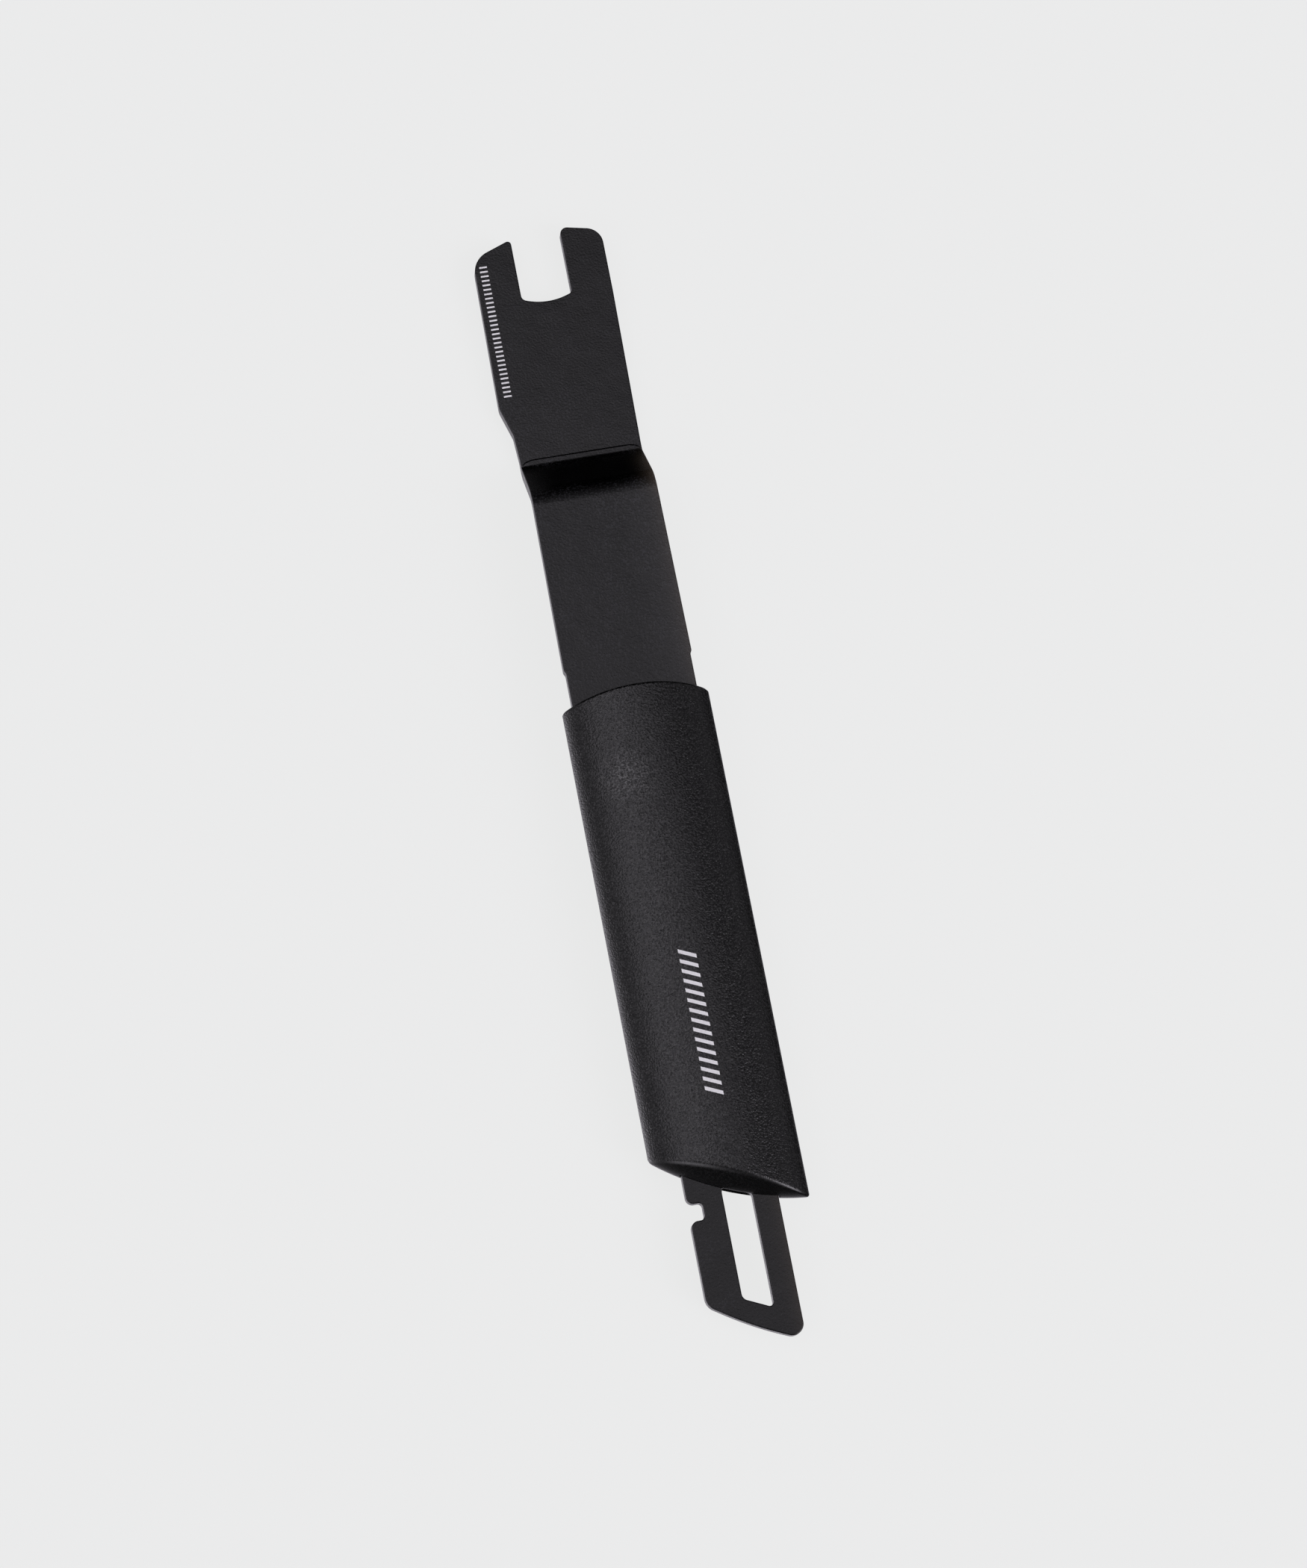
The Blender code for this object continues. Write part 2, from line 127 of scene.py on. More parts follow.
# %% Sizes of the steel and the joggle
THICK = 4.0
RIM = 0.4
DROP = 15.0
BEND_ANGLE = math.radians(50.0)
UPPER_MID = 6.9
LOWER_MID = 3.0
both_mid = UPPER_MID + LOWER_MID
bend_start = (LOWER_MID - UPPER_MID) * math.tan(0.5 * BEND_ANGLE)
bend_end = bend_start + UPPER_MID * BEND_ANGLE
riser = (DROP - both_mid * (1.0 - math.cos(BEND_ANGLE))) / math.sin(BEND_ANGLE)
turn_back = bend_end + riser
joggle = turn_back + LOWER_MID * BEND_ANGLE
print("the joggle in the flat, mm:", round(bend_start, 2), "to", round(joggle, 2))

# %% Sizes of the head, along it from the end of the joggle
TIP = 71.6
LEFT_TIP = TIP - 1.6
RIGHT_TIP_SLOPE = math.radians(11.5)
LEFT_TIP_SLOPE = math.radians(20.3)
HEAD_RIGHT = 18.78
HEAD_LEFT_AT_TIP = -20.55
HEAD_LEFT = -21.15
JAW_WIDTH = 15.0
JAW_CENTRE = -0.9
JAW_DEPTH = 22.3
JAW_FLOOR_RADIUS = 18.0
JAW_LEFT_RADIUS = 1.8
jaw_left, jaw_right = JAW_CENTRE - 0.5 * JAW_WIDTH, JAW_CENTRE + 0.5 * JAW_WIDTH
floor_slope = math.asin((0.5 * JAW_WIDTH - JAW_LEFT_RADIUS) / JAW_FLOOR_RADIUS)
floor = TIP - JAW_DEPTH - JAW_FLOOR_RADIUS * (1.0 / math.cos(floor_slope) - 1.0)
floor_side = floor + 0.5 * JAW_WIDTH * math.tan(floor_slope)
print("the jaw's floor, mm from the joggle:", round(floor, 2))

# %% Corners of the head: across, along, radius
head_corners = np.array((
    (HEAD_RIGHT, 49.4, 60.0),
    (HEAD_RIGHT, TIP - (HEAD_RIGHT - jaw_right) * math.tan(RIGHT_TIP_SLOPE), 5.2),
    (jaw_right, TIP, 2.0),
    (jaw_right, floor_side, 1.2),
    (JAW_CENTRE, floor, JAW_FLOOR_RADIUS),
    (jaw_left, floor_side, JAW_LEFT_RADIUS),
    (jaw_left, LEFT_TIP, 1.1),
    (HEAD_LEFT_AT_TIP, LEFT_TIP - (jaw_left - HEAD_LEFT_AT_TIP) * math.tan(LEFT_TIP_SLOPE), 6.9),
    (HEAD_LEFT, 18.3, 6.0),
    (-18.5, 9.6, 4.0),
))
head_corners[:, 1] += joggle
NECK_HALF = 18.05
print("head corners:", len(head_corners))

# %% Sizes of the shank and tail
GRIP_HEAD = -63.25
GRIP_END = GRIP_HEAD - 139.3
STEP = GRIP_HEAD + 11.5
STEP_REACH = 0.5
SHANK_HALF = 18.25
SHANK_HALF_AT_STEP = 18.65
TANG_HALF = 18.15
SHOULDER_START, SHOULDER_STOP = GRIP_END + 30.0, GRIP_END + 22.0
TAIL_LEFT, TAIL_RIGHT = -13.05, 12.5
TAIL_LEFT_END, TAIL_RIGHT_END = GRIP_END - 33.4, GRIP_END - 47.2
TAIL_END_RADIUS = 100.0
TAIL_CORNER_RADIUS = 3.2
NOTCH_FLOOR = TAIL_LEFT + 4.2
NOTCH_START, NOTCH_STOP = GRIP_END - 5.0, GRIP_END - 9.8
print("the grip reaches from", GRIP_HEAD, "to", round(GRIP_END, 2))

# %% [markdown]
# The tail's slanted end is one wide arc. It swells out of the straight line between the
# two corners just as far as lets it run into the small arc at the right corner.

# %% Corners of the shank and tail, down the left side and up the right
tail_drop, tail_width = TAIL_LEFT_END - TAIL_RIGHT_END, TAIL_RIGHT - TAIL_LEFT
tail_slope = math.atan2(tail_drop, tail_width)
tail_half = 0.5 * math.hypot(tail_drop, tail_width)
corner_reach = TAIL_CORNER_RADIUS * math.tan(0.25 * math.pi + 0.5 * tail_slope)
tail_out = tail_half * math.tan(math.asin((tail_half - corner_reach) / TAIL_END_RADIUS))
tail_corners = np.array((
    (-SHANK_HALF_AT_STEP, STEP + STEP_REACH, 1.2),
    (-TANG_HALF, STEP - STEP_REACH, 1.2),
    (-TANG_HALF, SHOULDER_START, 6.0),
    (TAIL_LEFT, SHOULDER_STOP, 6.0),
    (TAIL_LEFT, NOTCH_START, 2.1),
    (NOTCH_FLOOR, NOTCH_START, 1.2),
    (NOTCH_FLOOR, NOTCH_STOP, 1.2),
    (TAIL_LEFT, NOTCH_STOP, 2.1),
    (TAIL_LEFT, TAIL_LEFT_END, 4.2),
    (0.5 * (TAIL_LEFT + TAIL_RIGHT) - tail_out * math.sin(tail_slope),
     0.5 * (TAIL_LEFT_END + TAIL_RIGHT_END) - tail_out * math.cos(tail_slope), TAIL_END_RADIUS),
    (TAIL_RIGHT, TAIL_RIGHT_END, TAIL_CORNER_RADIUS),
    (TAIL_RIGHT, SHOULDER_STOP, 6.0),
    (TANG_HALF, SHOULDER_START, 6.0),
    (TANG_HALF, STEP - STEP_REACH, 1.2),
    (SHANK_HALF_AT_STEP, STEP + STEP_REACH, 1.2),
))
print("tail corners:", len(tail_corners))

# %% Corners of the hang slot, turning the other way round
SLOT_TOP = GRIP_END - 0.9
SLOT_FOOT = SLOT_TOP - 32.25
SLOT_LEFT = -2.87
SLOT_WIDTH = 8.27
SLOT_TOP_FALL = SLOT_WIDTH * math.tan(math.radians(25.5))
SLOT_FOOT_FALL = SLOT_WIDTH * math.tan(math.radians(25.2))
slot_corners = np.array((
    (SLOT_LEFT, SLOT_TOP, 1.6),
    (SLOT_LEFT + SLOT_WIDTH, SLOT_TOP - SLOT_TOP_FALL, 1.6),
    (SLOT_LEFT + SLOT_WIDTH, SLOT_FOOT - SLOT_FOOT_FALL, 1.05),
    (SLOT_LEFT, SLOT_FOOT, 2.1),
))
print("slot corners:", len(slot_corners))

# %% [markdown]
# ## Rounding the corners
#
# A corner of radius r between two straight edges is an arc that touches both. Its
# centre lies on the line that halves the corner, and both touching points are as far
# from the corner as r divided by the tangent of half the corner's angle. Working on
# all corners at once keeps this to a few lines, and the same sums give the direction
# that is square to the edge, which later makes the shading exact.

# %% Corner arcs
ARC_POINTS = 15


def unit(v):
    """Vectors divided by their length."""
    return v / np.linalg.norm(v, axis=-1, keepdims=True)


def round_corners(corners, before=None, after=None):
    """Arc points and outward directions for each corner: centre + r (cos a, sin a).

    The angle a runs evenly between the two touching points. before and after are
    the neighbours of the first and last corner where the outline isn't closed.
    """
    place, radius = corners[:, :2], corners[:, 2:3]
    back, ahead = np.roll(place, 1, 0), np.roll(place, -1, 0)
    if before is not None:
        back[0], ahead[-1] = before, after
    to_back, to_ahead = unit(back - place), unit(ahead - place)
    half = 0.5 * np.arccos(np.clip((to_back * to_ahead).sum(1, keepdims=True), -1.0, 1.0))
    centre = place + unit(to_back + to_ahead) * radius / np.sin(half)
    first = place + to_back * radius / np.tan(half) - centre
    last = place + to_ahead * radius / np.tan(half) - centre
    side = np.sign(first[:, :1] * last[:, 1:] - first[:, 1:] * last[:, :1])
    start = np.arctan2(first[:, 1:], first[:, :1])
    angle = start + side * (math.pi - 2.0 * half) * np.linspace(0.0, 1.0, ARC_POINTS)
    spoke = np.stack((np.cos(angle), np.sin(angle)), -1)
    points = centre[:, None] + radius[:, None] * spoke
    return points.reshape(-1, 2), (side[:, None] * spoke).reshape(-1, 2)


slot_line, slot_out = round_corners(slot_corners)
print("points round the slot:", len(slot_line))

# %% [markdown]
# ## Rows across the joggle
#
# Flat steel needs few points, but the two bends need rows of points from edge to edge,
# a few degrees apart. The press has also left a low land just past the lower bend,
# which needs rows close together. All rows go into the outline too, at its left and
# right edge, so that the faces and the rim share them.

# %% Bend rows and the whole outline
BEND_ROWS = 14
RISER_ROWS = 8
LAND_ROWS = 30
LAND_REACH = 2.0
upper_rows = np.linspace(bend_start, bend_end, BEND_ROWS)
lower_rows = np.linspace(turn_back, joggle, BEND_ROWS)
riser_rows = np.linspace(bend_end, turn_back, RISER_ROWS)[1:-1]
land_rows = joggle + np.linspace(0.0, LAND_REACH, LAND_ROWS + 1)[1:]
rows = np.concatenate((upper_rows, riser_rows, lower_rows, land_rows))
row_share = np.minimum((rows - bend_start) / (joggle - bend_start), 1.0)
row_half = SHANK_HALF + (NECK_HALF - SHANK_HALF) * row_share
lean = math.atan2(SHANK_HALF - NECK_HALF, joggle - bend_start)

head_line, head_out = round_corners(head_corners, (NECK_HALF, rows[-1]), (-NECK_HALF, rows[-1]))
tail_line, tail_dir = round_corners(tail_corners, (-SHANK_HALF, bend_start), (SHANK_HALF, bend_start))
left_line = np.stack((-row_half, rows), -1)[::-1]
right_line = np.stack((row_half, rows), -1)
right_out = np.tile((math.cos(lean), math.sin(lean)), (len(rows), 1))
left_out = right_out * (-1.0, 1.0)
outline = np.concatenate((right_line, head_line, left_line, tail_line))
outline_out = np.concatenate((right_out, head_out, left_out, tail_dir))
print("points round the blank:", len(outline))

# %% [markdown]
# ## The rim
#
# Stamping leaves the plate's edges slightly rounded, and the coating rounds them more.
# The rim is a profile carried round the outline: a quarter circle from the top face,
# the straight side and a quarter circle to the bottom face. As a surface it is
# f(u, v), with u along the outline and v down the profile.

# %% Rim profile
QUARTER_STEPS = 6
quarter = np.linspace(0.0, 0.5 * math.pi, QUARTER_STEPS)
down = np.concatenate((quarter, quarter + 0.5 * math.pi))
rim_out = np.sin(down)
rim_up = np.cos(down)
core = np.where(np.arange(len(down)) < QUARTER_STEPS, 1.0, -1.0) * (0.5 * THICK - RIM)


def rim_surface(line, outward):
    """f(u, v): line(u) + (RIM sin v - RIM) outward(u), at the height core + RIM cos v."""
    flat = line[:, None] + outward[:, None] * (RIM * rim_out - RIM)[None, :, None]
    lift = np.broadcast_to(core + RIM * rim_up, flat.shape[:2])
    points = np.concatenate((flat, lift[..., None]), -1)
    sideways = outward[:, None] * rim_out[None, :, None]
    upwards = np.broadcast_to(rim_up, flat.shape[:2])
    return points, np.concatenate((sideways, upwards[..., None]), -1)


def ring_faces(count, steps, first):
    """Quads of a closed ring of count profiles with steps points each, facing out."""
    i, j = np.meshgrid(np.arange(count), np.arange(steps - 1), indexing="ij")
    following = (i + 1) % count
    quads = np.stack((i * steps + j, i * steps + j + 1,
                      following * steps + j + 1, following * steps + j), -1)
    return quads.reshape(-1, 4) + first


outer_rim, outer_normals = rim_surface(outline, outline_out)
slot_rim, slot_normals = rim_surface(slot_line, slot_out)
print("rim points:", outer_rim.shape[:2], slot_rim.shape[:2])

# %% [markdown]
# ## The two faces
#
# The faces lie inside the rim's first and last ring. The bend rows get points across
# the plate too, closer together near its edges, because the land ends there. A
# constrained triangulation then fills the face and keeps the rows as edges, so each
# bend folds along straight lines.

# %% Points across each row and the triangles between them
COLUMNS = 70
spread = np.sin(np.linspace(-0.5 * math.pi, 0.5 * math.pi, COLUMNS + 2)[1:-1])
across = (row_half - RIM)[:, None] * spread[None, :]
row_points = np.stack((across, np.broadcast_to(rows[:, None], across.shape)), -1)

ring = outer_rim[:, 0, :2]
hole = slot_rim[:, 0, :2]
plan = np.concatenate((ring, hole, row_points.reshape(-1, 2)))
n_ring, n_hole, n_rows = len(ring), len(hole), len(rows)
hole_index = n_ring + np.arange(n_hole)
grid = n_ring + n_hole + np.arange(n_rows * COLUMNS).reshape(n_rows, COLUMNS)
right_end = np.arange(n_rows)
left_end = (n_rows + len(head_line) + np.arange(n_rows))[::-1]
lines = np.concatenate((left_end[:, None], grid, right_end[:, None]), 1)
links = np.concatenate((
    np.stack((hole_index, np.roll(hole_index, -1)), -1),
    np.stack((lines[:, :-1], lines[:, 1:]), -1).reshape(-1, 2),
))
filled = delaunay_2d_cdt([Vector(p) for p in plan.tolist()], links.tolist(),
                         [list(range(n_ring))], 1, 1e-6)
triangles = np.array(filled[2])
in_hole = ((triangles >= n_ring) & (triangles < n_ring + n_hole)).all(1)
triangles = triangles[~in_hole]
same_points = len(filled[0]) == len(plan)
print("triangles on a face:", len(triangles), "points kept:", same_points)

# %% [markdown]
# ## Bending the blank
#
# Steel bends about its middle layer, which keeps its length. So a point that lies s
# along the blank goes to the same length along the bent middle line, a circle's arc in
# each bend and a straight between, and stays at its own height over that line.

# %% The bent middle line


def bend(points, normals):
    """Carry (x, s, lift) and its normals along the middle line.

    In a bend of radius R the line turns by s / R: it advances R sin(s / R) and falls
    R (1 - cos(s / R)). The lower bend is the same curve turned back up.
    """
    x, s, lift = np.moveaxis(points, -1, 0)
    a = (np.clip(s, bend_start, bend_end) - bend_start) / UPPER_MID
    b = (joggle - np.clip(s, turn_back, joggle)) / LOWER_MID
    middle = np.clip(s - bend_end, 0.0, riser)
    straight = np.minimum(s, bend_start) + np.maximum(s - joggle, 0.0)
    c, d = math.cos(BEND_ANGLE), math.sin(BEND_ANGLE)
    y = straight + UPPER_MID * np.sin(a) + middle * c + LOWER_MID * (d - np.sin(b))
    z = -UPPER_MID * (1.0 - np.cos(a)) - middle * d - LOWER_MID * (np.cos(b) - c)
    heading = BEND_ANGLE - b - a
    ch, sh = np.cos(heading), np.sin(heading)
    bent = np.stack((x, y - lift * sh, z + lift * ch), -1)
    nx, ns, nl = np.moveaxis(normals, -1, 0)
    return bent, np.stack((nx, ns * ch - nl * sh, ns * sh + nl * ch), -1)


far_y = bend_start + both_mid * math.sin(BEND_ANGLE) + riser * math.cos(BEND_ANGLE)
print("the head's flat starts at y =", round(far_y, 2))

# %% [markdown]
# ## The land past the lower bend
#
# The press flattens the head up to a line just past the lower bend. The narrow land
# between that line and the bend is left standing a little proud, and it runs out to a
# point at both edges of the plate. The small step down from it faces away from the
# lights, so the photograph shows it as a thin dark line. Lifting the face by a height
# that depends on place makes it, with no extra piece of mesh.

# %% Land
LAND_HEIGHT = 0.36
LAND_STEP_WIDTH = 0.55
LAND_END = 1.42
LAND_TIP = -0.35
LAND_SIDE = 13.6
LAND_SIDE_REACH = 4.0
SLOPE_STEP = 0.01


def smooth(t):
    """The smooth step 3 t^2 - 2 t^3 of t held between 0 and 1."""
    t = np.clip(t, 0.0, 1.0)
    return t * t * (3.0 - 2.0 * t)


def land_height(x, past):
    """Height at x across and past mm beyond the joggle's end.

    The step's line is LAND_END away, and beyond LAND_SIDE it comes down to the bend as
    an ellipse's end does. The height falls by a smooth step over it, and grows by
    another one along the bend.
    """
    t = np.clip((np.abs(x) - LAND_SIDE) / LAND_SIDE_REACH, 0.0, 1.0)
    end = np.sqrt(1.0 - t * t)
    line = LAND_TIP + (LAND_END - LAND_TIP) * end
    before_step = smooth(0.5 - (past - line) / LAND_STEP_WIDTH)
    from_bend = smooth(1.0 + past / (joggle - turn_back))
    return LAND_HEIGHT * before_step * from_bend * np.sqrt(end)


def raise_land(flat, bent, normals):
    """Lift the top face's row points and tilt their normals by the height's slope."""
    x, past = flat[:, 0], flat[:, 1] - joggle
    lifted = bent.copy()
    lifted[:, 2] += land_height(x, past)
    slope_x = land_height(x + SLOPE_STEP, past) - land_height(x - SLOPE_STEP, past)
    slope_y = land_height(x, past + SLOPE_STEP) - land_height(x, past - SLOPE_STEP)
    slope_x, slope_y = slope_x / (2.0 * SLOPE_STEP), slope_y / (2.0 * SLOPE_STEP)
    tilted = normals.copy()
    tilted[:, 0] -= slope_x
    tilted[:, 1] -= slope_y * (past > 0.0)
    return lifted, tilted


# %% [markdown]
# ## The plate as a mesh
#
# Both faces share their border with the rim, so the plate is one closed skin. Its
# shading directions are known exactly from the formulas, and they are given to the
# mesh, because Blender's own average would bend the light on flat steel beside a rim.

# %% Plate


def make_piece(name, points, faces, normals=None):
    """One mesh object at the origin from wrench millimetres, smooth, with its normals."""
    mesh = bpy.data.meshes.new(name)
    mesh.from_pydata(lay_down(points).tolist(), [], faces)
    mesh.shade_smooth()
    if normals is not None:
        mesh.normals_split_custom_set_from_vertices(unit(tip_directions(normals)).tolist())
    mesh.validate()
    piece = bpy.data.objects.new(name, mesh)
    bpy.context.scene.collection.objects.link(piece)
    print(name, "has", len(mesh.vertices), "points and", len(mesh.polygons), "faces")
    return piece


steps = len(down)
n_outer, n_slot = outer_rim.shape[0] * steps, slot_rim.shape[0] * steps
inner = row_points.reshape(-1, 2)
top_inner = np.concatenate((inner, np.full((len(inner), 1), 0.5 * THICK)), 1)
low_inner = top_inner * (1.0, 1.0, -1.0)
flat_points = np.concatenate((outer_rim.reshape(-1, 3), slot_rim.reshape(-1, 3),
                              top_inner, low_inner))
flat_normals = np.concatenate((outer_normals.reshape(-1, 3), slot_normals.reshape(-1, 3),
                               np.tile((0.0, 0.0, 1.0), (len(inner), 1)),
                               np.tile((0.0, 0.0, -1.0), (len(inner), 1))))
bent_points, bent_normals = bend(flat_points, flat_normals)
face = slice(n_outer + n_slot, n_outer + n_slot + len(inner))
bent_points[face], bent_normals[face] = raise_land(flat_points[face], bent_points[face],
                                                   bent_normals[face])

ring_start = np.concatenate((np.arange(n_ring) * steps, n_outer + np.arange(n_hole) * steps))
top_number = np.concatenate((ring_start, n_outer + n_slot + np.arange(len(inner))))
low_number = np.concatenate((ring_start + steps - 1,
                             n_outer + n_slot + len(inner) + np.arange(len(inner))))
plate_faces = (ring_faces(n_ring, steps, 0).tolist()
               + ring_faces(n_hole, steps, n_outer).tolist()
               + top_number[triangles].tolist()
               + low_number[triangles][:, ::-1].tolist())
plate = make_piece("black_plate", bent_points, plate_faces, bent_normals)
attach(plate, "root")
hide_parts("wrench_plate")

# %% [markdown]
# ## The grip's section and ends
#
# The grip is a lens in section, thick in the middle and almost sharp at both edges. Its
# head end is cut square, on an arc. Its tail end is slanted and domed: it is turned
# about an upright axis far up the grip, and it draws back towards the top and bottom.

# %% Grip sizes and its two end surfaces
GRIP_HALF_WIDTH = 21.3
GRIP_HALF_THICK = 9.0
LENS_POWER = 0.65
HEAD_BULGE = 3.35
TAIL_BULGE = 3.4
TAIL_SLANT = math.radians(22.2)
DRAW_BACK = 5.0
DRAW_POWER = 1.8


def arc_radius(half_chord, bulge):
    """Radius of the arc that bulges this far out of its chord."""
    return (half_chord ** 2 + bulge ** 2) / (2.0 * bulge)


head_radius = arc_radius(GRIP_HALF_WIDTH, HEAD_BULGE)
tail_radius = arc_radius(GRIP_HALF_WIDTH / math.cos(TAIL_SLANT), TAIL_BULGE)
tail_axis = np.array((math.sin(TAIL_SLANT), math.cos(TAIL_SLANT))) * (tail_radius - TAIL_BULGE)


def head_end(x, z):
    """Y of the head end: a circle of head_radius seen from above, the same at every z."""
    return GRIP_HEAD + HEAD_BULGE - head_radius + np.sqrt(head_radius ** 2 - x ** 2) + 0.0 * z


def tail_end(x, z):
    """Y of the tail end: a circle of radius r seen from above, where
    r = tail_radius - DRAW_BACK (|z| / half thickness) ^ DRAW_POWER."""
    r = tail_radius - DRAW_BACK * (np.abs(z) / GRIP_HALF_THICK) ** DRAW_POWER
    return GRIP_END + tail_axis[1] - np.sqrt(r ** 2 - (x - tail_axis[0]) ** 2)


print("tail end at the middle:", round(float(tail_end(np.array(0.0), np.array(0.0))), 2))

# %% [markdown]
# ## The slit for the plate
#
# The grip is moulded round the plate and leaves a hair's breadth beside it. Each end
# face runs from the lens shaped rim in to the slit, so every point of the lens needs a
# partner on the slit: the points over the slit's flat go to the flat, and the few at
# the sharp edges go to its short sides.

# %% Lens and slit contours
AROUND = 240
SLIT_GAP = 0.3
SLIT_HALF_THICK = 0.5 * THICK + SLIT_GAP
PARTNER_X = 19.5
turn = 2.0 * math.pi * np.arange(AROUND) / AROUND
lens_x = GRIP_HALF_WIDTH * np.cos(turn)
lens_z = np.sign(np.sin(turn)) * GRIP_HALF_THICK * np.abs(np.sin(turn)) ** (2.0 * LENS_POWER)
partner_z = GRIP_HALF_THICK * (1.0 - (PARTNER_X / GRIP_HALF_WIDTH) ** 2) ** LENS_POWER


def slit_contour(left, right):
    """The slit's partner of each lens point, between x = left and x = right."""
    share_x = np.clip(lens_x / PARTNER_X, -1.0, 1.0)
    share_z = np.clip(lens_z / partner_z, -1.0, 1.0)
    return 0.5 * (left + right) + 0.5 * (right - left) * share_x, SLIT_HALF_THICK * share_z


head_slit = slit_contour(-TANG_HALF - SLIT_GAP, TANG_HALF + SLIT_GAP)
tail_slit = slit_contour(TAIL_LEFT - SLIT_GAP, TAIL_RIGHT + SLIT_GAP)
print("points round the lens and the slit:", len(lens_x))

# %% [markdown]
# ## The grip as one closed surface
#
# A profile carried all the way round: along the skin, over a small fillet at the tail
# end, across the end face to the slit, back through the pocket that holds the plate,
# across the head end's face and over its fillet to the skin again.

# %% Grip rows
FILLET_STEPS = 8
FACE_STEPS = 16
SKIN_ROWS = 30
SKIN_INSET = 0.0015
TAIL_FILLET = 0.9
HEAD_FILLET = 0.62
HEAD_FILLET_POWER = 1.7
POCKET_NARROW_END = GRIP_END + 21.4
POCKET_WIDE_END = GRIP_END + 29.6


def end_rows(end_surface, slit, fillet, power, towards):
    """Rows from the skin over the rounded edge to the slit on one end surface.

    Each moves in from the lens towards its slit partner by fillet (1 - cos^power a),
    and back along the grip by fillet (1 - sin^power a), then straight on to the slit.
    Power 1 gives a round edge, and a higher one comes close to a flat chamfer. towards
    is 1 where the grip lies on the +Y side of the end surface, and -1 on the other.
    """
    dx, dz = slit[0] - lens_x, slit[1] - lens_z
    reach = np.hypot(dx, dz)
    dx, dz = dx / reach, dz / reach
    a = np.linspace(0.0, 0.5 * math.pi, FILLET_STEPS)[:, None]
    rest = np.linspace(0.0, 1.0, FACE_STEPS + 1)[1:, None]
    cosine, sine = np.maximum(np.cos(a), 0.0) ** power, np.sin(a) ** power
    inwards = np.concatenate((fillet * (1.0 - cosine) + 0.0 * reach,
                              fillet + (reach - fillet) * rest))
    back = np.concatenate((fillet * (1.0 - sine), 0.0 * rest))
    x, z = lens_x + dx * inwards, lens_z + dz * inwards
    return np.stack((x, end_surface(x, z) + towards * back, z), -1)


tail_rows = end_rows(tail_end, tail_slit, TAIL_FILLET, 1.0, 1.0)
head_rows = end_rows(head_end, head_slit, HEAD_FILLET, HEAD_FILLET_POWER, -1.0)[::-1]


def pocket_row(slit, y):
    """One ring of the pocket's wall at y."""
    return np.stack((slit[0], np.full(AROUND, y), slit[1]), -1)


pocket = np.stack((pocket_row(tail_slit, POCKET_NARROW_END), pocket_row(head_slit, POCKET_WIDE_END)))
skin_start, skin_stop = head_rows[-1, :, 1], tail_rows[0, :, 1]
share = np.linspace(0.0, 1.0, SKIN_ROWS)
share = np.concatenate(([SKIN_INSET], share[1:-1], [1.0 - SKIN_INSET]))[:, None]
skin_y = skin_start + (skin_stop - skin_start) * share
skin = np.stack((np.broadcast_to(lens_x, skin_y.shape), skin_y,
                 np.broadcast_to(lens_z, skin_y.shape)), -1)
grip_rows = np.concatenate((skin, tail_rows, pocket, head_rows))
print("grip rows:", len(grip_rows))

# %% Grip
row, col = np.meshgrid(np.arange(len(grip_rows)), np.arange(AROUND), indexing="ij")
next_row, next_col = (row + 1) % len(grip_rows), (col + 1) % AROUND
grip_faces = np.stack((row * AROUND + col, row * AROUND + next_col,
                       next_row * AROUND + next_col, next_row * AROUND + col), -1).reshape(-1, 4)
grip = make_piece("black_grip", grip_rows.reshape(-1, 3), grip_faces[:, ::-1].tolist())
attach(grip, "root")
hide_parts("handle_grip")

# %% [markdown]
# The skin of the mould was roughened and its tail end left smooth. The mesh says which
# is which: an attribute is 1 on the grained rows, fades out on the tail's rounded edge
# and stays at a tenth on its end face.

# %% Where the grip is grained
SMOOTH_END = 0.1
GRAIN_FADE = (math.radians(14.0), math.radians(30.0))
grained = np.ones(len(grip_rows))
edge_turn = np.linspace(0.0, 0.5 * math.pi, FILLET_STEPS)
fade = np.interp(edge_turn, GRAIN_FADE, (1.0, SMOOTH_END))
grained[SKIN_ROWS:SKIN_ROWS + len(tail_rows)] = np.concatenate((fade, np.full(FACE_STEPS, SMOOTH_END)))
mark = grip.data.attributes.new("grained", "FLOAT", "POINT")
mark.data.foreach_set("value", np.repeat(grained, AROUND))
print("rows with full grain:", int((grained == 1.0).sum()))

# %% [markdown]
# ## Node helpers
#
# A finish is a small graph of nodes. A few helpers keep the graphs readable: one adds a
# node and sets its sockets, one does sums, and one turns a value that runs from start
# to stop into one that runs from low to high.

# %% Helpers for finishes


def add_node(tree, kind, links=None, **values):
    """Add a node, set its properties, and link or set its inputs."""
    node = tree.nodes.new(kind)
    for key, value in values.items():
        setattr(node, key, value)
    for key, value in (links or {}).items():
        if isinstance(value, bpy.types.NodeSocket):
            tree.links.new(value, node.inputs[key])
        else:
            node.inputs[key].default_value = value
    return node


def sum_node(tree, operation, *values):
    """A Math node's output."""
    node = add_node(tree, "ShaderNodeMath", dict(enumerate(values)), operation=operation)
    return node.outputs[0]


def ramp(tree, value, start, stop, low, high):
    """low + (high - low) (value - start) / (stop - start), held between low and high."""
    return add_node(tree, "ShaderNodeMapRange", {
        "Value": value, "From Min": start, "From Max": stop, "To Min": low, "To Max": high}).outputs[0]


def away_from(tree, value, middle):
    """The distance between a value and a middle."""
    return sum_node(tree, "ABSOLUTE", sum_node(tree, "SUBTRACT", value, middle))


def new_finish(name):
    """An empty finish with its Principled shader."""
    material = bpy.data.materials.new(name)
    material.use_nodes = True
    return material, material.node_tree, material.node_tree.nodes["Principled BSDF"]


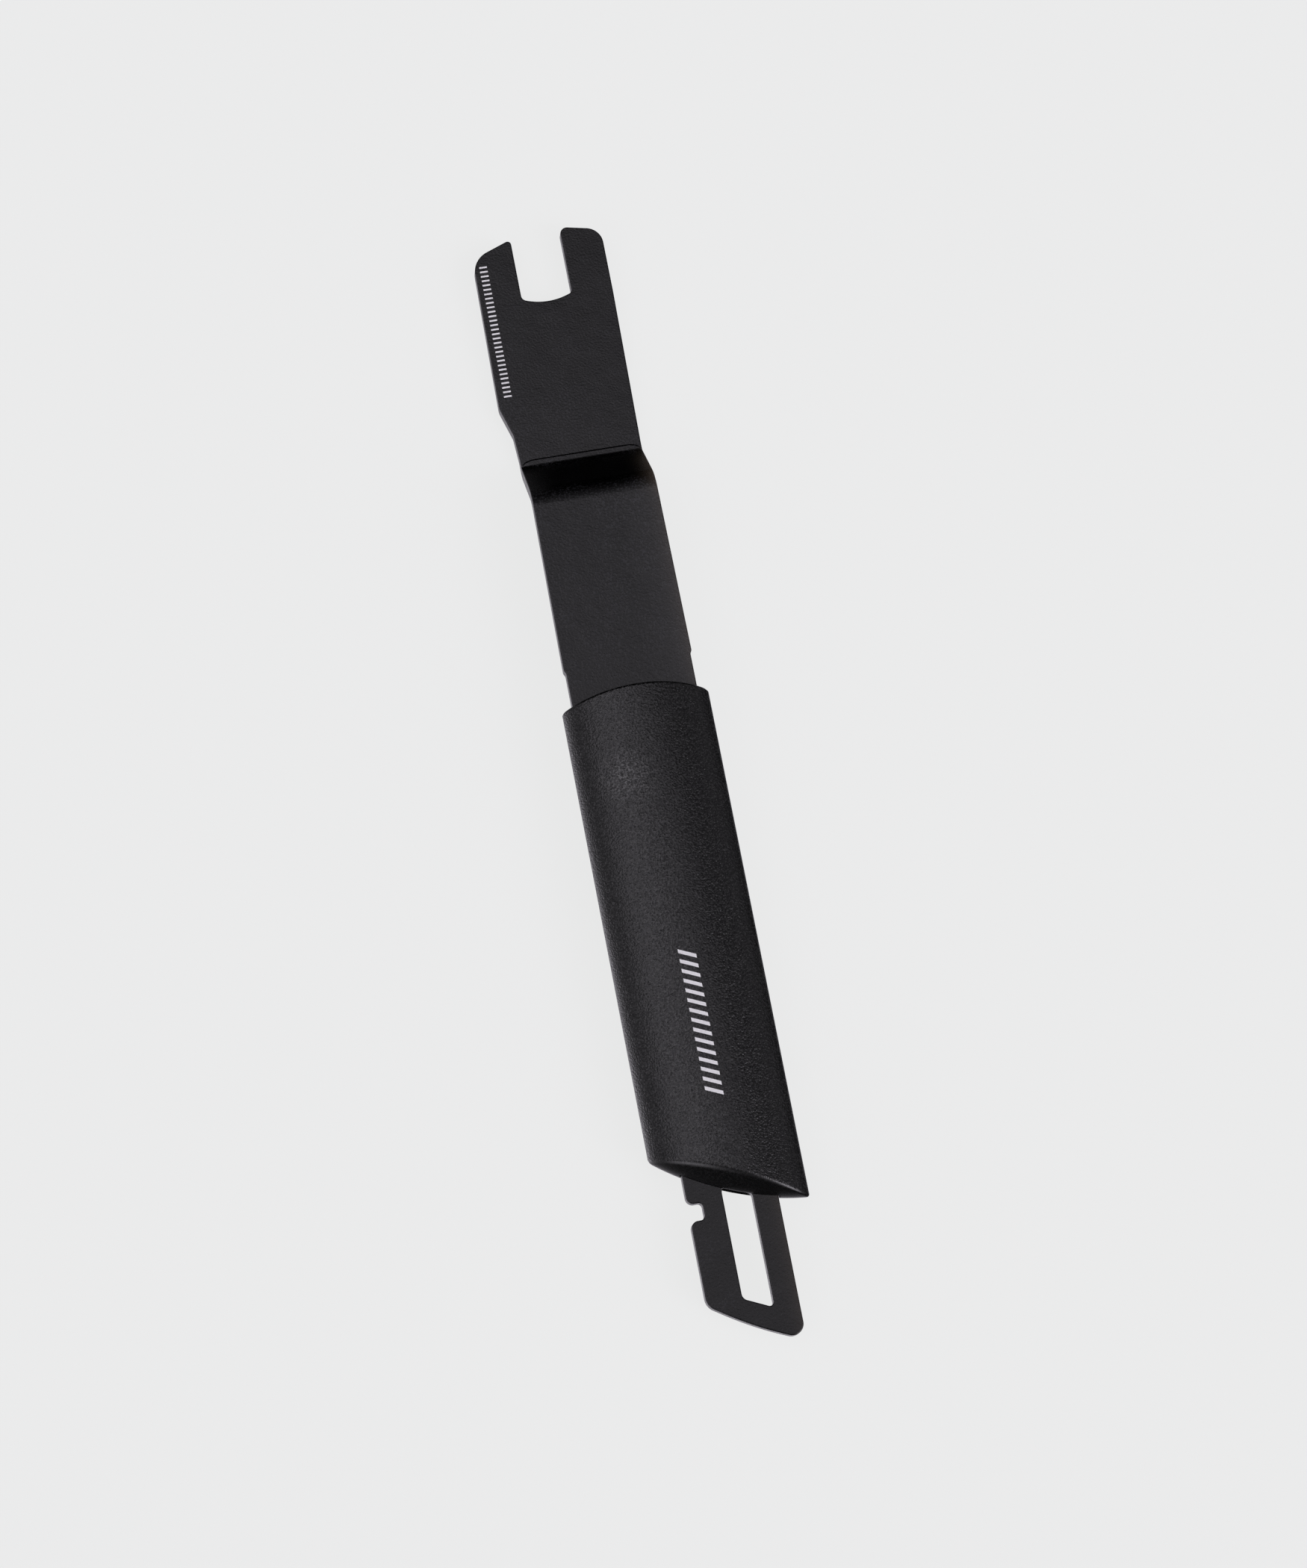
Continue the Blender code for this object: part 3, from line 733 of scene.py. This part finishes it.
def wrench_coordinates(tree):
    """Object coordinates in millimetres of the wrench's own frame, as X, Y, Z sockets."""
    place = add_node(tree, "ShaderNodeTexCoord").outputs["Object"]
    shift = add_node(tree, "ShaderNodeMapping", {
        "Vector": place, "Location": tuple(-REST_SHIFT), "Scale": (1000.0, 1000.0, 1000.0)})
    level = add_node(tree, "ShaderNodeMapping", {
        "Vector": shift.outputs[0], "Rotation": (-REST_TILT, 0.0, 0.0)})
    split = add_node(tree, "ShaderNodeSeparateXYZ", {0: level.outputs[0]})
    return level.outputs[0], split.outputs


# %% [markdown]
# ## Printed marks
#
# The real tool has words printed in white along the head's left edge and on the grip.
# Here plain white bars take their place: fine upright ones on the head and slanted ones
# on the grip, each row as long and as high as the print. A point is on a bar when it
# lies near enough to the middle of its cell.

# %% Printed bars
PRINT_WHITE = (0.90, 0.90, 0.90, 1.0)


def bars(tree, xyz, x_mid, y_from, y_to, height, pitch, width, slant):
    """1 on a row of bars along Y, each leaning by slant mm per mm across, else 0."""
    off_x = sum_node(tree, "SUBTRACT", xyz[0], x_mid)
    along = sum_node(tree, "SUBTRACT", sum_node(tree, "MULTIPLY_ADD", off_x, slant, xyz[1]), y_from)
    cell = sum_node(tree, "WRAP", along, pitch, 0.0)
    on_bar = sum_node(tree, "LESS_THAN", away_from(tree, cell, 0.5 * pitch), 0.5 * width)
    in_height = sum_node(tree, "LESS_THAN", sum_node(tree, "ABSOLUTE", off_x), 0.5 * height)
    started = sum_node(tree, "GREATER_THAN", along, 0.0)
    ended = sum_node(tree, "LESS_THAN", along, y_to - y_from)
    return sum_node(tree, "MULTIPLY", sum_node(tree, "MULTIPLY", on_bar, in_height),
                    sum_node(tree, "MULTIPLY", started, ended))


def printed(tree, finish_colour, print_mask):
    """The finish's colour with PRINT_WHITE where the mask is 1."""
    return add_node(tree, "ShaderNodeMix", {
        "Factor": print_mask, 6: finish_colour, 7: PRINT_WHITE}, data_type="RGBA").outputs[2]


# %% [markdown]
# ## The plate's black coat
#
# The coat swallows nearly all light that enters it, so the black that shows is the
# pale studio mirrored weakly and softly in its skin. A very fine unevenness breaks
# the mirror, and slow changes of gloss keep the broad faces from looking printed.

# %% Black coat
HEAD_FACE = 0.5 * THICK - DROP
coat, tree, shader = new_finish("black_coat")
vector, xyz = wrench_coordinates(tree)
grain = add_node(tree, "ShaderNodeTexNoise", {"Vector": vector, "Scale": 1.7, "Detail": 1.0}).outputs["Fac"]
cloud = add_node(tree, "ShaderNodeTexNoise", {"Vector": vector, "Scale": 0.12, "Detail": 2.0}).outputs["Fac"]
gloss = ramp(tree, cloud, 0.3, 0.7, 0.06, 0.13)
roughness = sum_node(tree, "MULTIPLY_ADD", grain, 0.3, gloss)
relief = sum_node(tree, "MULTIPLY_ADD", cloud, 2.0, grain)
bump = add_node(tree, "ShaderNodeBump", {"Height": relief, "Strength": 1.0, "Distance": 0.00006})
print_mask = sum_node(tree, "MULTIPLY",
                      bars(tree, xyz, x_mid=-17.95, y_from=36.6, y_to=78.6,
                           height=2.3, pitch=1.4, width=0.5, slant=0.0),
                      sum_node(tree, "GREATER_THAN", xyz[2], HEAD_FACE - 0.3))

# %% [markdown]
# The coat is a fine speckle of dull black with lighter grains. The grains are thinner
# towards both ends. In the joggle they are left out: painted shade that keeps the riser,
# which faces away from the lights, nearly black.

# %% Speckle
SPECKLED_MIDDLE = -30.0
speck = ramp(tree, grain, 0.52, 0.68, 0.0006, 0.0125)
amount = ramp(tree, cloud, 0.35, 0.65, 0.4, 1.6)
outwards = ramp(tree, away_from(tree, xyz[1], SPECKLED_MIDDLE), 50.0, 110.0, 0.0, 1.0)
kept = sum_node(tree, "MULTIPLY_ADD", outwards, -0.8, amount)
# Painted shade: the speckle is left out on the riser, so it stays as dark as the shade it lies in.
outside_riser_shade = ramp(tree, away_from(tree, xyz[1], 0.5 * far_y), 3.5, 7.0, 0.0, 1.0)
in_joggle = sum_node(tree, "SUBTRACT", 1.0, outside_riser_shade)
tint = sum_node(tree, "MULTIPLY", sum_node(tree, "MULTIPLY", speck, kept), outside_riser_shade)
speckle = sum_node(tree, "MAXIMUM", tint, 0.0)

# %% [markdown]
# The right side of the shank is painted a little lighter, a painted sheen where the
# light falls on that side. Right at the edge a warmer painted reflection is added, most
# of all beside the joggle. A fainter painted reflection lies at the joggle's left end.
# Each grows with a power of the nearness to its edge.

# %% Painted sheen and reflections along the edges
TAIL_START = -180.0
# Painted sheen and painted reflections: lighter bands of the coat along the right edge and at the joggle's
# left end.
edge_x = ramp(tree, xyz[1], TAIL_START, TAIL_START + 1.0, TAIL_RIGHT, 18.2)
near = ramp(tree, sum_node(tree, "SUBTRACT", edge_x, xyz[0]), 13.0, 0.0, 0.0, 1.0)
on_shank = ramp(tree, xyz[1], 3.0, -5.0, 0.0, 0.0135)
before_tail = ramp(tree, xyz[1], TAIL_START, TAIL_START + 2.0, 0.0, 1.0)
painted_right_sheen = sum_node(tree, "MULTIPLY", near, sum_node(tree, "MULTIPLY", on_shank, before_tail))
level = ramp(tree, xyz[1], 3.0, -5.0, 0.058, 0.016)
below_head = ramp(tree, xyz[1], 16.0, 10.0, 0.0, 1.0)
painted_edge_reflection = sum_node(tree, "MULTIPLY", sum_node(tree, "POWER", near, 6.0),
                     sum_node(tree, "MULTIPLY", level, below_head))
near_left = ramp(tree, xyz[0], -8.2, -18.2, 0.0, 1.0)
painted_left_reflection = sum_node(tree, "MULTIPLY", sum_node(tree, "POWER", near_left, 2.0),
                     sum_node(tree, "MULTIPLY", in_joggle, 0.018))
painted_sheen_sum = sum_node(tree, "ADD", sum_node(tree, "ADD", painted_right_sheen, painted_left_reflection), painted_edge_reflection)

# %% Colour of the coat
# The painted reflection at the right edge is tinted warm: more red and less blue.
blue_speckle_and_painted_sheen = sum_node(tree, "MULTIPLY_ADD", speckle, 1.12, painted_sheen_sum)
speckle_and_painted_sheen = sum_node(tree, "ADD", speckle, painted_sheen_sum)
black = add_node(tree, "ShaderNodeCombineColor", {
    "Red": sum_node(tree, "MULTIPLY_ADD", painted_edge_reflection, 0.25, speckle_and_painted_sheen),
    "Green": speckle_and_painted_sheen,
    "Blue": sum_node(tree, "MULTIPLY_ADD", painted_edge_reflection, -0.25, blue_speckle_and_painted_sheen)})
tree.links.new(printed(tree, black.outputs[0], print_mask), shader.inputs["Base Color"])
tree.links.new(roughness, shader.inputs["Roughness"])
tree.links.new(bump.outputs[0], shader.inputs["Normal"])
plate.data.materials.append(coat)
print(coat.name, "has", len(tree.nodes), "nodes")

# %% [markdown]
# ## The grip's plastic
#
# The mould was roughened, so the plastic has a fine, dull grain. It scatters what it
# mirrors into one broad soft highlight along the crown. A painted highlight lightens the
# grain a little along the crown, most of all in one small painted hot spot near the head
# end. The tail's end face comes from a smooth part of the mould: there the grain fades out.

# %% Grain of the plastic
plastic, tree, shader = new_finish("grained_plastic")
vector, xyz = wrench_coordinates(tree)
grain = add_node(tree, "ShaderNodeTexNoise", {"Vector": vector, "Scale": 1.7, "Detail": 1.0}).outputs["Fac"]
pits = add_node(tree, "ShaderNodeTexVoronoi", {"Vector": vector, "Scale": 2.0})
relief = sum_node(tree, "ADD", grain, sum_node(tree, "MULTIPLY", pits.outputs["Distance"], 0.5))
on_skin = add_node(tree, "ShaderNodeAttribute", attribute_name="grained").outputs["Fac"]
bump = add_node(tree, "ShaderNodeBump", {"Height": relief, "Strength": on_skin, "Distance": 0.00013})
rough = ramp(tree, grain, 0.3, 0.7, 0.17, 0.30)
speck = ramp(tree, grain, 0.46, 0.68, 0.0015, 0.014)

# %% Painted highlight on the plastic
# Painted highlight: a lighter band along the crown and a painted hot spot near the head end.
PAINTED_HOT_SPOT = (-7.8, -86.0, 8.2)
PAINTED_HIGHLIGHT_X = -6.0
far = add_node(tree, "ShaderNodeVectorMath", {0: vector, 1: PAINTED_HOT_SPOT}, operation="DISTANCE")
hot_spot = ramp(tree, far.outputs["Value"], 10.0, 0.0, 0.0, 1.0)
crown = ramp(tree, away_from(tree, xyz[0], PAINTED_HIGHLIGHT_X), 14.0, 2.0, 0.0, 1.0)
painted_highlight = sum_node(tree, "MULTIPLY_ADD", sum_node(tree, "POWER", hot_spot, 1.5), 3.8, crown)
highlight_grains = ramp(tree, grain, 0.44, 0.68, 0.0, 0.026)
on_end = ramp(tree, on_skin, 1.0, SMOOTH_END, 0.0, 0.0045)
# Inside the painted highlight the grain's colour is lighter.
tint = sum_node(tree, "MULTIPLY", sum_node(tree, "MULTIPLY_ADD", painted_highlight, highlight_grains, speck), on_skin)
tint = sum_node(tree, "ADD", tint, on_end)

# %% Colour of the plastic
black = add_node(tree, "ShaderNodeCombineColor", {"Red": tint, "Green": tint, "Blue": tint})
print_mask = sum_node(tree, "MULTIPLY",
                      bars(tree, xyz, x_mid=-0.35, y_from=-179.75, y_to=-137.75,
                           height=4.9, pitch=2.8, width=1.1, slant=0.45),
                      sum_node(tree, "GREATER_THAN", xyz[2], 5.0))
tree.links.new(printed(tree, black.outputs[0], print_mask), shader.inputs["Base Color"])
tree.links.new(rough, shader.inputs["Roughness"])
tree.links.new(bump.outputs[0], shader.inputs["Normal"])
grip.data.materials.append(plastic)
print(plastic.name, "has", len(tree.nodes), "nodes")

# %% [markdown]
# ## The light table
#
# The photograph has a plain, very pale ground with hardly a shadow on it, as on a
# photographer's light table: a white sheet lit from below. So the floor glows, and
# sends back only a little of the light from above. Mirror rays pass through it: what
# the tool's sides mirror is set by the lowest of the studio's lights instead.

# %% Floor
TABLE_HALF = 3.0
floor_mesh = bpy.data.meshes.new("floor")
floor_mesh.from_pydata([(-TABLE_HALF, -TABLE_HALF, 0.0), (TABLE_HALF, -TABLE_HALF, 0.0),
                        (TABLE_HALF, TABLE_HALF, 0.0), (-TABLE_HALF, TABLE_HALF, 0.0)],
                       [], [(0, 1, 2, 3)])
ground = bpy.data.objects.new("floor", floor_mesh)
bpy.context.scene.collection.objects.link(ground)
sheet, tree, shader = new_finish("white_sheet")
shader.inputs["Base Color"].default_value = (0.08, 0.08, 0.08, 1.0)
shader.inputs["Roughness"].default_value = 0.9
shader.inputs["Specular IOR Level"].default_value = 0.0
shader.inputs["Emission Color"].default_value = (0.995, 1.0, 0.997, 1.0)
shader.inputs["Emission Strength"].default_value = 0.778
floor_mesh.materials.append(sheet)
ground.visible_glossy = False
print("the floor is", 2.0 * TABLE_HALF, "m wide")

# %% [markdown]
# ## The studio's soft lights
#
# The black surfaces show where the light came from: the flat steel mirrors what is
# overhead, the bend what lies ahead of the jaw, and the grip's edges what is low down
# at the left and right. A world whose brightness depends on direction stands for that
# studio. Each soft light in it is a lobe: the cosine of the angle from its middle,
# raised to a power. Lobes below the level of the table light the mirrored sides only.

# %% Studio
world = bpy.data.worlds.new("studio")
world.use_nodes = True
bpy.context.scene.world = world
tree = world.node_tree
sky_direction = add_node(tree, "ShaderNodeTexCoord").outputs["Generated"]
SOFT_LIGHTS = (
    ((-0.10, 0.20, 0.97), 60.0, 1.18),
    ((0.30, 0.15, 0.94), 60.0, 0.80),
    ((0.20, -0.10, 0.97), 60.0, 0.39),
    ((0.45, -0.35, 0.82), 30.0, 0.80),
    ((-0.50, 0.10, 0.86), 20.0, 1.58),
    ((0.00, 0.50, 0.86), 20.0, 0.20),
    ((0.35, -0.61, 0.71), 8.0, 0.25),
    ((0.57, -0.55, 0.61), 30.0, 1.60),
    ((0.65, -0.55, 0.52), 24.0, 4.40),
    ((-0.60, -0.60, 0.53), 30.0, 2.60),
    ((0.66, 0.58, 0.48), 24.0, 0.40),
    ((-0.66, 0.58, 0.48), 24.0, 0.30),
    ((0.97, 0.00, 0.26), 12.0, 0.36),
    ((-0.97, 0.00, -0.26), 6.0, 1.27),
    ((-0.80, 0.00, -0.60), 16.0, 1.93),
    ((0.00, 0.00, -1.00), 4.0, 0.71),
)
strength = 0.0
for middle, power, level in SOFT_LIGHTS:
    towards_light = tuple(Vector(middle).normalized())
    cosine = add_node(tree, "ShaderNodeVectorMath", {0: sky_direction, 1: towards_light},
                      operation="DOT_PRODUCT").outputs["Value"]
    lobe = sum_node(tree, "POWER", sum_node(tree, "MAXIMUM", cosine, 0.0), power)
    strength = sum_node(tree, "MULTIPLY_ADD", lobe, level, strength)
tree.nodes["Background"].inputs["Color"].default_value = (1.01, 0.97, 1.055, 1.0)
tree.links.new(strength, tree.nodes["Background"].inputs["Strength"])
bpy.context.scene.view_settings.view_transform = "Standard"
print("soft lights:", len(SOFT_LIGHTS))
